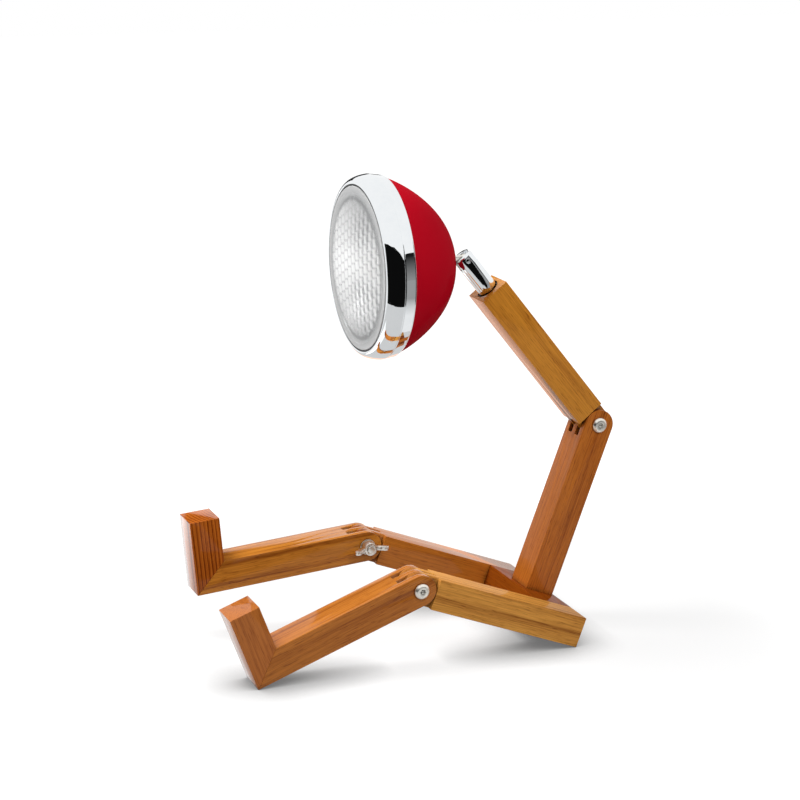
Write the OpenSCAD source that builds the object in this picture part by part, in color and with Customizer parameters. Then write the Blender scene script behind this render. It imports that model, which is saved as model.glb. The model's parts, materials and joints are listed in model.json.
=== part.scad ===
// Jointed wooden desk lamp in the shape of a seated figure, with a headlamp for a head.
// Millimetres. +Z is up, the lamp faces -Y, and +X is the figure's left side.
// The origin is on the table, under the middle of the whole lamp as it sits.

/* [Wooden bars] */
// Width of every bar, side to side
bar_w = 30; // [26:0.5:36]
// Thickness of every bar, front to back
bar_t = 25; // [22:0.5:30]

/* [Seat] */
// Width over both thighs
seat_w = 153.5; // [130:0.5:180]
// Rear face of the seat to the knee bolt
thigh_len = 148; // [120:1:180]
// Depth of the hip block between the thighs
hip_depth = 34; // [32:0.5:60]
// Rise of the thighs towards the knees, in degrees
thigh_pitch = 20.6; // [12:0.1:26]

/* [Lower legs] */
// Knee bolt to the sole
shin_len = 148; // [130:1:180]
// Heel to toe, along the sole
foot_h = 62; // [45:1:80]
// Thickness of the foot
foot_t = 25; // [18:0.5:30]
// Fall of the raised right shin from level, in degrees
right_fall = 5.1; // [0:0.1:16]

/* [Torso and arm] */
// Top of the seat to the waist bolt
torso_len = 147; // [110:1:180]
// Front of the hip block to the front of the torso
torso_setback = 6.5; // [3:0.5:7]
// Waist bolt to the top end of the upper arm
arm_len = 151; // [110:1:180]
// Forward lean of the upper arm from upright, in degrees
arm_lean = 38.7; // [20:0.1:60]
// Depth, width and length of the torso's tenon in the hip block
tenon_t = 12; // [8:0.5:14]
tenon_w = 18; // [12:0.5:24]
tenon_len = 16; // [12:0.5:18]
// Shift of the tenon forward of the torso's middle
tenon_shift = 4; // [3:0.5:5]

/* [Finger joints] */
// Space between neighbouring fingers
finger_gap = 0.2; // [0.1:0.05:0.4]
// Space between a rounded finger end and the shoulder that it turns in
shoulder_gap = 0.5; // [0.3:0.1:1.5]
// Extra depth of a slot past its finger
slot_extra = 1.5; // [0.8:0.1:3]

/* [Bolts, washers and wing nuts] */
// Diameter of the joint bolts
bolt_d = 6; // [5:0.5:8]
// Diameter of the bolt's round head
bolt_head_d = 12.4; // [10:0.2:16]
// Height of the bolt's round head
bolt_head_h = 3.3; // [2.4:0.1:5]
// Height of the head's upright rim
bolt_rim_h = 1.5; // [0.8:0.1:2.2]
// Diameter of the head's flat top
bolt_top_d = 9; // [7:0.2:9.8]
// Width across flats of the hexagon socket in the head
bolt_socket_af = 4; // [3:0.5:5]
// Depth of the hexagon socket
bolt_socket_depth = 2; // [1:0.1:2.2]
// Bolt end that stands past the wing nut
bolt_end = 1.2; // [0.5:0.1:3]
// Washer diameter
washer_d = 13; // [12:0.5:18]
// Washer thickness
washer_t = 1.2; // [0.8:0.1:2]
// Hub diameter at the foot of a wing nut
nut_foot_d = 12; // [10:0.5:16]
// Hub diameter at the top of a wing nut
nut_top_d = 10.4; // [9:0.2:14]
// Hub height of a wing nut
nut_hub_h = 7.6; // [5:0.2:12]
// Span over both wings
wing_span = 29; // [24:0.5:36]
// Diameter of a wing's round tip
wing_tip_d = 5.2; // [4:0.2:7]
// Width of a wing between hub and tip
wing_bar = 4.7; // [3:0.1:5.1]
// Thickness of a wing
wing_t = 3; // [2:0.2:4.5]
// Height of a wing's tip over the washer
wing_h = 12.6; // [9:0.2:18]
// Distance and height at which a wing leaves the hub
wing_root_r = 3.8; // [3.2:0.1:4.4]
wing_root_h = 3.2; // [2.8:0.1:4.4]
// Turn of the knee nuts' wings from level, in degrees
wing_turn = 4; // [0:1:90]
// Turn of the waist nut's wings from level, in degrees
waist_wing_turn = 70; // [60:1:110]

/* [Dowels and torso screw] */
// Dowels that join the hip block to the thighs
hip_dowel_d = 8; // [6:0.5:10]
hip_dowel_len = 30; // [20:1:40]
// Distance between the two hip dowels of one side
hip_dowel_pitch = 16; // [12:0.5:20]
// Dowels in the mitre between shin and foot
foot_dowel_d = 6; // [4:0.5:8]
foot_dowel_len = 18; // [12:1:20]
foot_dowel_pitch = 14; // [10:0.5:18]
// Screw that holds the torso down
screw_d = 4; // [3:0.5:5]
screw_head_d = 8; // [7:0.5:10]
screw_len = 44; // [36:1:60]
// Depth of the screw's head in the hip block
screw_sink = 1; // [0.5:0.1:2]

/* [Neck] */
// Diameter of the neck tube
tube_d = 16.5; // [14:0.1:18]
// Tube length above the arm
tube_out = 36.4; // [34:0.2:50]
// Tube length inside the arm
tube_in = 25; // [22:0.5:34]
// Chamfer round the top of the tube
tube_chamfer = 0.8; // [0.4:0.1:1.2]
// Tilt pin above the end of the arm
pin_height = 32; // [30:0.2:33]
// Tilt pin diameter
pin_d = 4; // [3:0.5:5]
// Depth of the pin's ends inside the tube's outside
pin_inset = 0.3; // [0.1:0.05:0.6]
// Width of the slot in the top of the tube
slot_w = 6.4; // [5:0.1:8]
// Depth of the slot
slot_depth = 11; // [9.5:0.1:12]
// Wall of the bush that the tube turns in
bush_wall = 1.1; // [0.8:0.1:2]
// Bush length
bush_len = 19; // [14:0.5:20]
// Depth of the bush below the end of the arm
bush_recess = 1.6; // [0.5:0.1:3]
// Thickness and depth of the snap ring under the bush
snap_t = 1; // [0.8:0.1:1.4]
snap_depth = 0.8; // [0.5:0.1:1.2]

/* [Lamp head] */
// Front rim radius of the chrome ring
rim_r = 66.3; // [60:0.1:72]
// Largest radius of the chrome ring
ring_r = 73.2; // [70:0.1:80]
// Distance of the largest radius behind the rim
ring_crest = 16.75; // [12:0.25:20]
// Width of the skirt behind the crest
ring_skirt = 5.85; // [4:0.05:9]
// Fall of the skirt from crest to rear edge
skirt_fall = 1.55; // [0.8:0.05:1.6]
// Arc, thickness and length of the clips inside the ring
clip_arc = 9; // [5:1:20]
clip_t = 0.55; // [0.4:0.05:0.7]
clip_len = 8.5; // [6:0.5:9]
// Reach of the clips in front of the crest
clip_front = 5; // [3:0.5:6]
// Wall of the chrome ring
ring_wall = 0.9; // [0.7:0.05:1]
// Lip that the ring turns in over the lens
ring_lip = 2.1; // [1:0.1:3]
// Thickness of the lip at its edge, and how far the edge is turned back
lip_t = 0.7; // [0.5:0.05:0.9]
lip_sink = 0.3; // [0.1:0.05:0.6]
// How much thinner the ring is at its rear edge
ring_taper = 0.15; // [0:0.05:0.3]
// Depth of the shell's dome
dome_depth = 56.4; // [40:0.2:75]
// Wall of the shell
shell_wall = 1; // [0.8:0.1:1.1]
// Powers of the dome's curve along its depth and across its radius
dome_power_depth = 1.667; // [1.2:0.001:2]
dome_power_radius = 0.862; // [0.7:0.001:1]
// Radius of the flat seat at the back of the dome
dome_seat_r = 8; // [7.6:0.1:9]
// Depth of the dome's start inside the ring's rear edge
dome_tuck = 0.9; // [0.5:0.1:2]
// Tilt pin behind the back of the dome
lug_reach = 13.6; // [12.5:0.1:20]
// Exit of the lead from the lug, behind the back of the dome
lead_exit = 6; // [4.5:0.1:7]
// Height of the lug's bar
lug_bar_h = 6.8; // [5:0.1:8]
// Wall of the lug's eye round the pin
lug_eye_wall = 2.3; // [1.5:0.1:2.6]
// Radius and thickness of the lug's flange on the dome
lug_flange_r = 6.5; // [6:0.1:7.5]
lug_flange_t = 1.5; // [1:0.1:2.5]
// Fall of the head's axis towards the front, in degrees
head_dip = 0.6; // [-5:0.1:15]

/* [Lamp inside] */
// Lens thickness
lens_t = 3; // [2:0.2:4]
// Rise of the lens's middle over its border
lens_rise = 4; // [1:0.2:6]
// Width of the lens's plain border
lens_border = 7; // [4:0.5:10]
// Reflector wall
reflector_wall = 0.8; // [0.6:0.1:1.2]
// Radius of the reflector's mouth
reflector_r = 62; // [56:0.5:64]
// Radius of the lampholder
holder_r = 12; // [11:0.5:13]
// Length of the lampholder
holder_len = 24; // [20:0.5:26]
// Depth of the lampholder's front behind the rim
holder_front = 42; // [36:0.5:46]
// Depth of the lampholder's front inside the reflector's neck
holder_tuck = 2; // [1:0.5:3]
// Radius and length of the bulb's glass
bulb_r = 10; // [7:0.5:11]
bulb_len = 27; // [22:0.5:32]
// Radius and length of the bulb's neck, and length of the taper in front of it
bulb_neck_r = 6.5; // [5:0.5:6.8]
bulb_neck_len = 3; // [2:0.5:5]
bulb_taper = 6; // [4:0.5:8]
// Depth of the bulb's cap inside the lampholder
bulb_sink = 1.5; // [1:0.5:3]
// Radius and length of the bulb's cap
cap_r = 7; // [6:0.5:9]
cap_len = 10; // [8:0.5:16]
// Strap of the bracket that carries the lampholder
strap_w = 8; // [6:0.5:10]
strap_t = 1.2; // [0.8:0.1:1.5]
// Overlap of the bracket's legs on the lampholder
leg_grip = 10; // [6:0.5:16]
// Inset of the bracket's pad from the edge of the dome's seat
pad_inset = 0.5; // [0.3:0.1:1.5]
// Hollow stud that clamps head, bracket and lug
stud_d = 9.9; // [9:0.1:10]
// Nut and washer on the stud
stud_nut_af = 14; // [13:0.5:15]
stud_nut_t = 3; // [2:0.5:4]
stud_washer_d = 17.4; // [16:0.2:20]
stud_washer_t = 1; // [0.6:0.1:1.4]
// Stud end past its nut
stud_end = 0.8; // [0.3:0.1:2]

/* [Leads and inlet] */
// Diameter of the lead inside the lamp
lead_d = 3.4; // [2.4:0.1:3.6]
// Distance of the lead's bore behind the middle of the torso
lead_offset = 7; // [6.5:0.1:8]
// Bore of the rubber inlet for the mains cord
inlet_bore_d = 6; // [5:0.1:6.4]
// Wall of the inlet's sleeve
inlet_wall = 1.4; // [1:0.1:1.8]
// Length of the inlet's sleeve in the wood
inlet_len = 5; // [3:0.1:5.4]
// Thickness of the inlet's flange
inlet_flange_t = 1.2; // [0.8:0.1:2]
// Width of the flange round the sleeve
inlet_rim = 1.6; // [1:0.1:3]
// Depth of the seat lead's end below the rounded top of the torso
lead_top_depth = 1.2; // [0.6:0.1:2]

/* [Fits] */
// Radial play of a turning fit
turn_fit = 0.05; // [0.02:0.01:0.09]
// Radial play of a glued or clamped fit
glue_fit = 0.05; // [0.02:0.01:0.1]
// Play between the lead and its bore
lead_fit = 0.2; // [0.1:0.05:0.3]
// Play beside the lug in the tube's slot
lug_fit = 0.2; // [0.1:0.05:0.3]
// Play between pieces that lie face to face
face_fit = 0.1; // [0.05:0.01:0.2]

/* [Hidden] */
$fn = 64;

// Colours
wood = "#b5712f";
wood_end = "#8f4f22";
steel = "#c9ccd0";
chrome = "#dfe3e6";
red = "#b3121f";
black = "#1d1d1f";
brass = "#c49a45";

// Places in the seated pose, as distance forward and height from the seat's rear bottom edge
half_t = bar_t / 2;
side_x = seat_w / 2;
leg_x = side_x - bar_w / 2;
knee_fwd = thigh_len * cos(thigh_pitch) - half_t * sin(thigh_pitch);
knee_up = thigh_len * sin(thigh_pitch) + half_t * cos(thigh_pitch);
// The left shin falls until its heel meets the table
left_fall = asin(knee_up / norm([shin_len, half_t])) - atan2(half_t, shin_len);
torso_mid = hip_depth - torso_setback - half_t;
waist_fwd = torso_mid * cos(thigh_pitch) - (bar_t + torso_len) * sin(thigh_pitch);
waist_up = torso_mid * sin(thigh_pitch) + (bar_t + torso_len) * cos(thigh_pitch);
function toe_fwd(fall) = knee_fwd + shin_len * cos(fall) + (foot_h - half_t) * sin(fall);
front_reach = max(toe_fwd(left_fall), toe_fwd(right_fall));
rear_reach = half_t - waist_fwd;
centre_shift = (front_reach - rear_reach) / 2;

// Fingers: five layers across a bar
layer = bar_w / 5;
shoulder = half_t + shoulder_gap;
slot_bottom = half_t + slot_extra;
bolt_r = bolt_d / 2;
bolt_hole_r = bolt_r + turn_fit;
lead_r = lead_d / 2;
lead_bore_r = lead_r + lead_fit;

// Neck
tube_r = tube_d / 2;
bush_r = tube_r + turn_fit + bush_wall;
socket_r = bush_r + glue_fit;
bush_top = arm_len - bush_recess;
bush_foot = bush_top - bush_len;
tube_foot = arm_len - tube_in;
tube_top = arm_len + tube_out;
pin_up = arm_len + pin_height;
slot_foot = tube_top - slot_depth;
pin_r = pin_d / 2;
snap_foot = bush_foot - snap_t - 2 * face_fit;

// Leads and tenon
tenon_back = torso_mid + tenon_shift;
lead_y = lead_offset - torso_mid;
end_play = 0.3;

// Head, measured backwards from the rim
ring_end = ring_crest + ring_skirt;
dome_start = ring_end - dome_tuck;
rear_ring_wall = ring_wall - ring_taper;
shell_r = ring_r - skirt_fall - rear_ring_wall - face_fit;
lip_back = ring_wall + lip_sink;
lens_edge_r = rim_r + ring_wall;
lens_front = lip_back + face_fit;
lens_inner_r = lens_edge_r - lens_border;
gasket_front = lens_front + lens_t;
// The shell starts where it first clears the inside of the band
clear_sin = (shell_r + face_fit - rim_r) / (ring_r - rim_r - ring_wall);
clear_cos = sqrt(1 - clear_sin * clear_sin);
shell_front = ring_crest * (1 - clear_cos) + ring_wall * clear_cos + 2 * face_fit;
flange_front = shell_front - face_fit - reflector_wall;
flange_r = shell_r - reflector_wall;
gasket_t = flange_front - gasket_front;
dome_seat_turn = acos(pow(dome_seat_r / shell_r, 1 / dome_power_radius));
dome_back = dome_start + dome_depth * pow(sin(dome_seat_turn), dome_power_depth);
shell_floor = dome_back - shell_wall;
pin_back = dome_back + lug_reach;
lug_t = slot_w - 2 * lug_fit;
lug_eye_r = pin_r + lug_eye_wall;
stud_r = stud_d / 2;
bracket_floor = shell_floor - 2 * strap_t;
washer_floor = bracket_floor - stud_washer_t;
nut_floor = washer_floor - stud_nut_t;
stud_floor = nut_floor - stud_end;
holder_back = holder_front + holder_len;
lead_turn = dome_back + lead_exit;
bulb_foot = holder_front + bulb_sink;
band_steps = 15;
skirt_steps = 3;
dome_steps = 18;
// The reflector is a paraboloid from its mouth to a neck round the lampholder
neck_r = holder_r + lead_fit;
neck_back = holder_front + holder_tuck;
four_focal = (reflector_r * reflector_r - neck_r * neck_r) / (neck_back - flange_front);
reflector_apex = neck_back + neck_r * neck_r / four_focal;

// Frames of the bars: each bar runs along its own -Y or +Z
module in_seat() {
    translate([0, centre_shift, 0])
        rotate([-thigh_pitch, 0, 0]) children();
}

module in_shin(side, fall) {
    translate([side * leg_x, centre_shift - knee_fwd, knee_up])
        rotate([fall, 0, 0]) children();
}

module in_arm() {
    translate([0, centre_shift - waist_fwd, waist_up])
        rotate([arm_lean, 0, 0]) children();
}

// The head's own +Z runs backwards from the middle of its rim
module in_head() {
    in_arm()
        translate([0, 0, pin_up])
            rotate([-arm_lean - 90 + head_dip, 0, 0])
                translate([0, 0, -pin_back]) children();
}

module rod_x(r, len, x = 0) {
    translate([x, 0, 0]) rotate([0, 90, 0])
        cylinder(r = r, h = len, center = true);
}

// A round rod from one point to another in the YZ plane of a bar
module rod_yz(a, b, r) {
    d = b - a;
    translate([0, a[0], a[1]])
        rotate([atan2(-d[0], d[1]), 0, 0])
            cylinder(r = r, h = norm(d));
}

// Fingers round a bolt at the origin, for a bar that leaves along +Z from shoulder height.
// Forked bars keep layers 0, 2 and 4, and the bars between them layers 1 and 3.
module fingers(layers) {
    for (k = layers) {
        low = -bar_w / 2 + k * layer + (k == 0 ? 0 : finger_gap / 2);
        high = -bar_w / 2 + (k + 1) * layer - (k == 4 ? 0 : finger_gap / 2);
        difference() {
            union() {
                rod_x(half_t, high - low, (low + high) / 2);
                translate([low, -half_t, 0]) cube([high - low, bar_t, slot_bottom + 1]);
            }
            rod_x(bolt_hole_r, bar_w + 2);
        }
    }
}

// A bar from the bolt at the origin up to len, with fingers at its foot
module fingered_bar(len, layers) {
    fingers(layers);
    difference() {
        translate([-bar_w / 2, -half_t, shoulder]) cube([bar_w, bar_t, len - shoulder]);
        for (k = [1:3])
            if (len(search(k, layers)) == 0)
                translate([-bar_w / 2 + k * layer - finger_gap / 2, -half_t - 1, shoulder - 1])
                    cube([layer + finger_gap, bar_t + 2, slot_bottom - shoulder + 1]);
    }
}

module bolt(grip) {
    nut_side = grip / 2 + washer_t + nut_hub_h + bolt_end;
    head_side = grip / 2 + bolt_rim_h / 2;
    difference() {
        union() {
            rod_x(bolt_r, nut_side + head_side, (head_side - nut_side) / 2);
            translate([grip / 2, 0, 0]) rotate([0, 90, 0]) {
                cylinder(d = bolt_head_d, h = bolt_rim_h);
                translate([0, 0, bolt_rim_h])
                    cylinder(d1 = bolt_head_d, d2 = bolt_top_d, h = bolt_head_h - bolt_rim_h);
            }
        }
        translate([grip / 2 + bolt_head_h - bolt_socket_depth, 0, 0]) rotate([0, 90, 0])
            cylinder(d = bolt_socket_af / cos(30), h = bolt_socket_depth + 1, $fn = 6);
    }
}

module washer(grip) {
    difference() {
        rod_x(washer_d / 2, washer_t, -grip / 2 - washer_t / 2);
        rod_x(bolt_hole_r, grip + 6 * washer_t);
    }
}

// Hub and two wings, standing along -X from the washer
module wing_nut(grip, turn) {
    tip_r = wing_tip_d / 2;
    run = [wing_span / 2 - tip_r - wing_root_r, wing_h - tip_r - wing_root_h];
    translate([-grip / 2 - washer_t - face_fit, 0, 0]) rotate([turn, 0, 0]) rotate([0, -90, 0])
        difference() {
            union() {
                cylinder(r1 = nut_foot_d / 2, r2 = nut_top_d / 2, h = nut_hub_h);
                for (s = [0, 180])
                    rotate([90, 0, s + 90])
                        translate([wing_root_r, wing_root_h, 0])
                            rotate([0, 0, atan2(run[1], run[0])]) {
                                translate([0, -wing_bar / 2, -wing_t / 2])
                                    cube([norm(run), wing_bar, wing_t]);
                                translate([norm(run), 0, -wing_t / 2])
                                    cylinder(r = tip_r, h = wing_t);
                            }
            }
            translate([0, 0, -1]) cylinder(r = bolt_hole_r, h = wing_h + 2);
        }
}

module thigh(side) {
    color(wood) in_seat() translate([side * leg_x, 0, half_t]) difference() {
        translate([0, -thigh_len, 0]) rotate([-90, 0, 0]) fingered_bar(thigh_len, [1, 3]);
        for (k = [-1, 1])
            translate([-side * bar_w / 2, -hip_depth / 2 + k * hip_dowel_pitch / 2, 0])
                rod_x(hip_dowel_d / 2 + glue_fit, hip_dowel_len + 2 * end_play);
    }
}

module thigh_left() { thigh(1); }
module thigh_right() { thigh(-1); }

module hip_block() {
    inner_w = seat_w - 2 * bar_w;
    color(wood) in_seat() difference() {
        translate([-inner_w / 2, -hip_depth, 0]) cube([inner_w, hip_depth, bar_t]);
        for (s = [-1, 1], k = [-1, 1])
            translate([s * inner_w / 2, -hip_depth / 2 + k * hip_dowel_pitch / 2, half_t])
                rod_x(hip_dowel_d / 2 + glue_fit, hip_dowel_len + 2 * end_play);
        tenon_place()
            translate([-tenon_w / 2 - glue_fit, -tenon_t / 2 - glue_fit, -tenon_len - end_play])
                cube([tenon_w + 2 * glue_fit, tenon_t + 2 * glue_fit, tenon_len + 1]);
        tenon_place() translate([0, 0, -bar_t - 1])
            cylinder(r = screw_d / 2 + glue_fit, h = bar_t);
        tenon_place() translate([0, 0, -bar_t - 1])
            cylinder(r = screw_head_d / 2 + glue_fit, h = screw_sink + 1);
        tenon_place() translate([0, 0, screw_sink - bar_t])
            cylinder(r1 = screw_head_d / 2 + glue_fit, r2 = screw_d / 2 + glue_fit,
                h = (screw_head_d - screw_d) / 2);
        translate([0, lead_y, half_t]) cylinder(r = lead_bore_r, h = bar_t);
        translate([0, lead_y, half_t]) sphere(r = lead_bore_r);
        rod_yz([lead_y, half_t], [1, half_t], lead_bore_r);
        translate([0, -inlet_len - face_fit, half_t]) rotate([-90, 0, 0])
            cylinder(r = inlet_bore_d / 2 + inlet_wall + glue_fit, h = inlet_len + 1);
    }
}

// Middle of the torso's tenon, at the top of the seat
module tenon_place() {
    translate([0, -tenon_back, bar_t]) children();
}

module hip_dowels() {
    color(wood_end) in_seat()
        for (s = [-1, 1], k = [-1, 1])
            translate([s * (side_x - bar_w), -hip_depth / 2 + k * hip_dowel_pitch / 2, half_t])
                rod_x(hip_dowel_d / 2, hip_dowel_len);
}

module torso() {
    color(wood) in_seat() difference() {
        union() {
            translate([0, -torso_mid, bar_t + torso_len]) rotate([180, 0, 0])
                fingered_bar(torso_len, [0, 2, 4]);
            tenon_place() translate([-tenon_w / 2, -tenon_t / 2, -tenon_len])
                cube([tenon_w, tenon_t, tenon_len + 1]);
        }
        translate([0, lead_y, bar_t - 1]) cylinder(r = lead_bore_r, h = torso_len + half_t + 2);
        tenon_place() translate([0, 0, -bar_t])
            cylinder(r = screw_d / 2 + glue_fit, h = screw_sink + screw_len + end_play);
    }
}

module torso_screw() {
    color(steel) in_seat() tenon_place() translate([0, 0, screw_sink - bar_t]) {
        cylinder(r1 = screw_head_d / 2, r2 = screw_d / 2, h = (screw_head_d - screw_d) / 2);
        cylinder(r = screw_d / 2, h = screw_len);
    }
}

// The lead's end is in the rounded top of the torso's middle finger
module seat_lead() {
    lead_top = bar_t + torso_len + sqrt(half_t * half_t - lead_offset * lead_offset)
        - lead_top_depth;
    color(black) in_seat() {
        translate([0, lead_y, half_t]) cylinder(r = lead_r, h = lead_top - half_t);
        translate([0, lead_y, half_t]) sphere(r = lead_r);
        rod_yz([lead_y, half_t], [-inlet_len - end_play, half_t], lead_r);
    }
}

module cord_inlet() {
    sleeve_r = inlet_bore_d / 2 + inlet_wall;
    color(black) in_seat() translate([0, 0, half_t]) rotate([-90, 0, 0]) difference() {
        union() {
            translate([0, 0, -inlet_len]) cylinder(r = sleeve_r, h = inlet_len);
            cylinder(r = sleeve_r + inlet_rim, h = inlet_flange_t);
        }
        translate([0, 0, -inlet_len - 1])
            cylinder(r = inlet_bore_d / 2, h = inlet_len + inlet_flange_t + 2);
    }
}

module in_waist() {
    translate([0, centre_shift - waist_fwd, waist_up]) children();
}

module waist_bolt() { color(steel) in_waist() bolt(bar_w); }
module waist_washer() { color(steel) in_waist() washer(bar_w); }
module waist_wing_nut() { color(steel) in_waist() wing_nut(bar_w, waist_wing_turn); }

module shin(side, fall) {
    color(wood) in_shin(side, fall) difference() {
        rotate([90, 0, 0]) fingered_bar(shin_len, [0, 2, 4]);
        side_plate(bar_w + 2, [[-shin_len, 0], [foot_t - shin_len, bar_t],
            [foot_t - shin_len, bar_t + 1], [-shin_len - 1, bar_t + 1], [-shin_len - 1, 0]]);
        mitre_dowels(glue_fit, 2 * end_play);
    }
}

// A plate across a shin, from an outline in its side view with the sole's edge at height 0
module side_plate(w, outline) {
    translate([-w / 2, 0, -half_t]) rotate([90, 0, 90])
        linear_extrude(height = w) polygon(outline);
}

// Dowels square to the mitre, half in the shin and half in the foot
module mitre_dowels(grow_r, grow_len) {
    for (k = [-1, 1])
        translate([k * foot_dowel_pitch / 2, foot_t / 2 - shin_len, 0])
            rotate([atan2(bar_t, foot_t), 0, 0])
                cylinder(r = foot_dowel_d / 2 + grow_r, h = foot_dowel_len + grow_len,
                    center = true);
}

module foot(side, fall) {
    color(wood) in_shin(side, fall) difference() {
        side_plate(bar_w, [[-shin_len, 0], [-shin_len, foot_h], [foot_t - shin_len, foot_h],
            [foot_t - shin_len, bar_t]]);
        mitre_dowels(glue_fit, 2 * end_play);
    }
}

module foot_dowels(side, fall) { color(wood_end) in_shin(side, fall) mitre_dowels(0, 0); }
module knee_bolt(side, fall) { color(steel) in_shin(side, fall) mirror_to(side) bolt(bar_w); }
module knee_washer(side, fall) { color(steel) in_shin(side, fall) mirror_to(side) washer(bar_w); }
module knee_wing_nut(side) {
    color(steel) in_shin(side, 0) mirror_to(side) wing_nut(bar_w, side * wing_turn);
}

// Bolt heads are on the outer side of each knee
module mirror_to(side) {
    rotate([0, 0, side > 0 ? 0 : 180]) children();
}

module shin_left() { shin(1, left_fall); }
module foot_left() { foot(1, left_fall); }
module foot_dowels_left() { foot_dowels(1, left_fall); }
module knee_bolt_left() { knee_bolt(1, left_fall); }
module knee_washer_left() { knee_washer(1, left_fall); }
module knee_wing_nut_left() { knee_wing_nut(1); }
module shin_right() { shin(-1, right_fall); }
module foot_right() { foot(-1, right_fall); }
module foot_dowels_right() { foot_dowels(-1, right_fall); }
module knee_bolt_right() { knee_bolt(-1, right_fall); }
module knee_washer_right() { knee_washer(-1, right_fall); }
module knee_wing_nut_right() { knee_wing_nut(-1); }

// The arm's lead slants from behind the waist bolt to the middle of the neck
function arm_lead_at(up) = [lead_offset * (tube_foot - up) / (tube_foot - slot_bottom), up];

module upper_arm() {
    color(wood) in_arm() difference() {
        fingered_bar(arm_len, [1, 3]);
        translate([0, 0, tube_foot - 1]) cylinder(r = socket_r, h = tube_in + 2);
        rod_yz(arm_lead_at(shoulder - 2), arm_lead_at(tube_foot), lead_bore_r);
    }
}

module arm_lead() {
    color(black) in_arm()
        rod_yz(arm_lead_at(slot_bottom + end_play), arm_lead_at(tube_foot - end_play),
            lead_r);
}

module neck_bush() {
    color(steel) in_arm() translate([0, 0, bush_foot]) difference() {
        cylinder(r = bush_r, h = bush_len);
        translate([0, 0, -1]) cylinder(r = tube_r + turn_fit, h = bush_len + 2);
    }
}

module neck_tube() {
    color(chrome) in_arm() difference() {
        union() {
            translate([0, 0, tube_foot])
                cylinder(r = tube_r, h = tube_in + tube_out - tube_chamfer);
            translate([0, 0, tube_top - tube_chamfer])
                cylinder(r1 = tube_r, r2 = tube_r - tube_chamfer, h = tube_chamfer);
        }
        translate([0, 0, tube_foot - 1]) cylinder(r = lead_bore_r, h = tube_in + tube_out);
        translate([-slot_w / 2, -tube_d, slot_foot]) cube([slot_w, 2 * tube_d, slot_depth + 1]);
        translate([0, 0, pin_up]) rod_x(pin_r + glue_fit / 2, tube_d + 2);
        translate([0, 0, snap_foot]) difference() {
            cylinder(r = tube_r + 1, h = snap_t + face_fit);
            translate([0, 0, -1]) cylinder(r = tube_r - snap_depth, h = snap_t + 3);
        }
    }
}

module snap_ring() {
    color(steel) in_arm() translate([0, 0, snap_foot + face_fit / 2]) difference() {
        cylinder(r = bush_r - face_fit, h = snap_t);
        translate([0, 0, -1])
            cylinder(r = tube_r - snap_depth + glue_fit, h = snap_t + 2);
    }
}

module neck_lead() {
    color(black) in_arm() translate([0, 0, tube_foot])
        cylinder(r = lead_r, h = slot_foot - tube_foot);
}

module tilt_pin() {
    color(steel) in_arm() translate([0, 0, pin_up]) rod_x(pin_r, tube_d - 2 * pin_inset);
}

// Outline of the ring's band at one turn of its quarter ellipse, moved in by a wall
function band_point(turn, wall) = [
    rim_r + (ring_r - rim_r) * sin(turn) - wall * sin(turn),
    ring_crest * (1 - cos(turn)) + wall * cos(turn)];
function skirt_point(part, wall) = [
    ring_r - skirt_fall * part * part - wall,
    ring_crest + ring_skirt * part];
function dome_point(turn, wall) = [
    (shell_r - wall) * pow(cos(turn), dome_power_radius),
    dome_start + (dome_depth - wall) * pow(sin(turn), dome_power_depth)];

module bezel_ring() {
    turns = [for (k = [0:band_steps]) 90 * k / band_steps];
    parts = [for (k = [1:skirt_steps]) k / skirt_steps];
    outer = concat([[rim_r - ring_lip, lip_back - lip_t]],
        [for (t = turns) band_point(t, 0)], [for (p = parts) skirt_point(p, 0)]);
    inner = concat([[rim_r - ring_lip, lip_back]],
        [for (t = turns) band_point(t, ring_wall)], [for (p = parts) skirt_point(p, rear_wall(p))]);
    color(chrome) in_head() rotate_extrude()
        polygon(concat(outer, [for (k = [len(inner) - 1:-1:0]) inner[k]]));
}

// The skirt's wall thins towards its rear edge
function rear_wall(part) = ring_wall + (rear_ring_wall - ring_wall) * part;

module bezel_clips() {
    color(steel) in_head() for (turn = [30, 150, 270])
        rotate([0, 0, turn - clip_arc / 2])
            rotate_extrude(angle = clip_arc)
                translate([shell_r + face_fit / 2, ring_crest - clip_front])
                    square([clip_t, clip_len]);
}

module head_shell() {
    turns = [for (k = [0:dome_steps - 1]) dome_seat_turn * k / dome_steps];
    outer = concat([[shell_r, shell_front]], [for (t = turns) dome_point(t, 0)],
        [[dome_seat_r, dome_back]]);
    inner = concat([[shell_r - shell_wall, shell_front]], [for (t = turns) dome_point(t, shell_wall)],
        [[dome_seat_r, shell_floor]]);
    stud_hole_r = stud_r + glue_fit;
    color(red) in_head() rotate_extrude()
        polygon(concat(outer, [[stud_hole_r, dome_back], [stud_hole_r, shell_floor]],
            [for (k = [len(inner) - 1:-1:0]) inner[k]]));
}

module lens() {
    steps = [for (k = [1:10]) k / 10];
    function dome(part, back) = [lens_inner_r * (1 - part),
        lens_front + back - lens_rise * (1 - pow(1 - part, 2))];
    color("#e8eef0") in_head() rotate_extrude()
        polygon(concat([[lens_edge_r, lens_front + lens_t], [lens_edge_r, lens_front],
            [lens_inner_r, lens_front]], [for (p = steps) dome(p, 0)],
            [for (k = [9:-1:0]) dome(steps[k], lens_t)], [[lens_inner_r, lens_front + lens_t]]));
}

module lens_gasket() {
    color(black) in_head() translate([0, 0, gasket_front]) difference() {
        cylinder(r = lens_edge_r, h = gasket_t);
        translate([0, 0, -1]) cylinder(r = reflector_r, h = gasket_t + 2);
    }
}

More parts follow.
